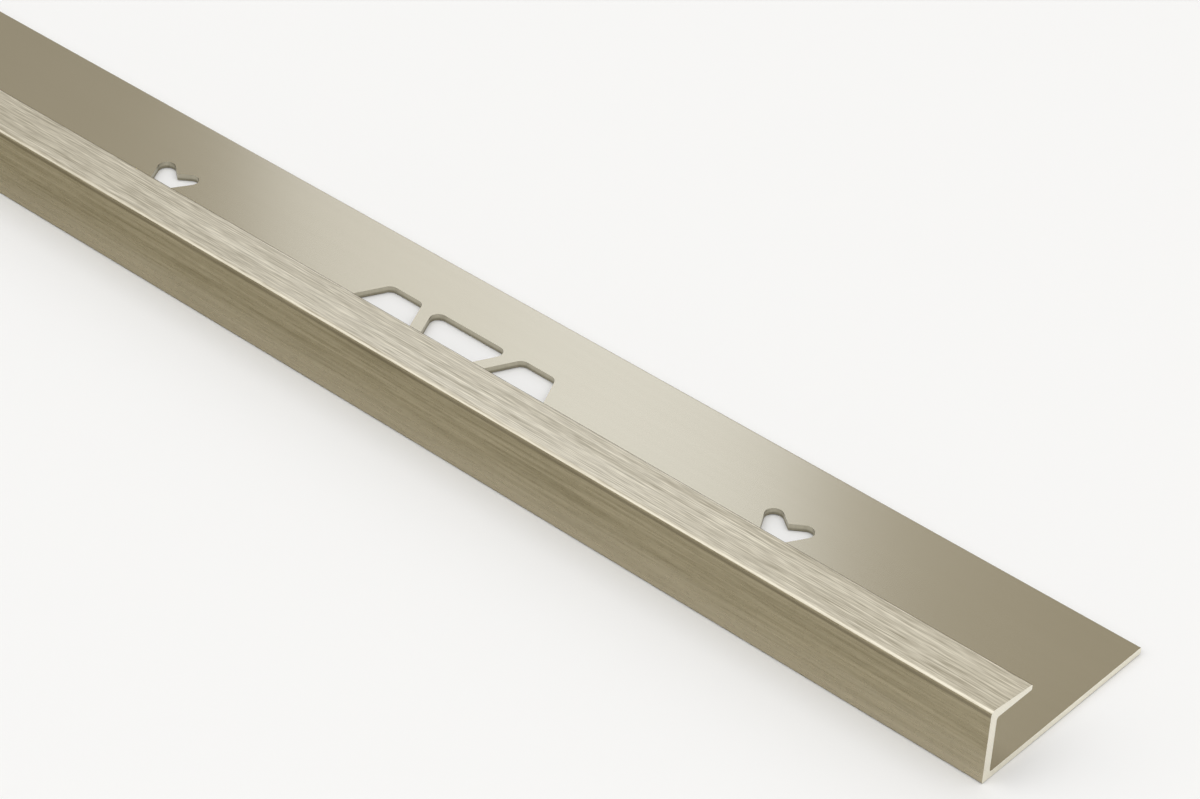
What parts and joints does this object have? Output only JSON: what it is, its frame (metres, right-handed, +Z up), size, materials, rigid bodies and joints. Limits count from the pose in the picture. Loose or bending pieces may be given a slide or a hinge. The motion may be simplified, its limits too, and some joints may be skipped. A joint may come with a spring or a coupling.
{
  "type": "tile edge trim",
  "caption": "Length of aluminium edge trim: a front wall with a flange folded back over a punched anchoring leg, to protect and finish the exposed edge of a tiled surface.",
  "frame": {"origin": "middle of the length and of the leg's width, on the underside of the leg", "axes": "+X along the length toward the end shown in the picture, +Z up from the leg, front face toward -Y"},
  "size_m": [2.5, 0.032, 0.011],
  "materials": {
    "anodised_aluminium": "brushed warm nickel anodised on wall and flange, satin on the leg"
  },
  "bodies": {
    "root": {"edge_trim_profile": "anodised_aluminium"}
  },
  "joints": []
}
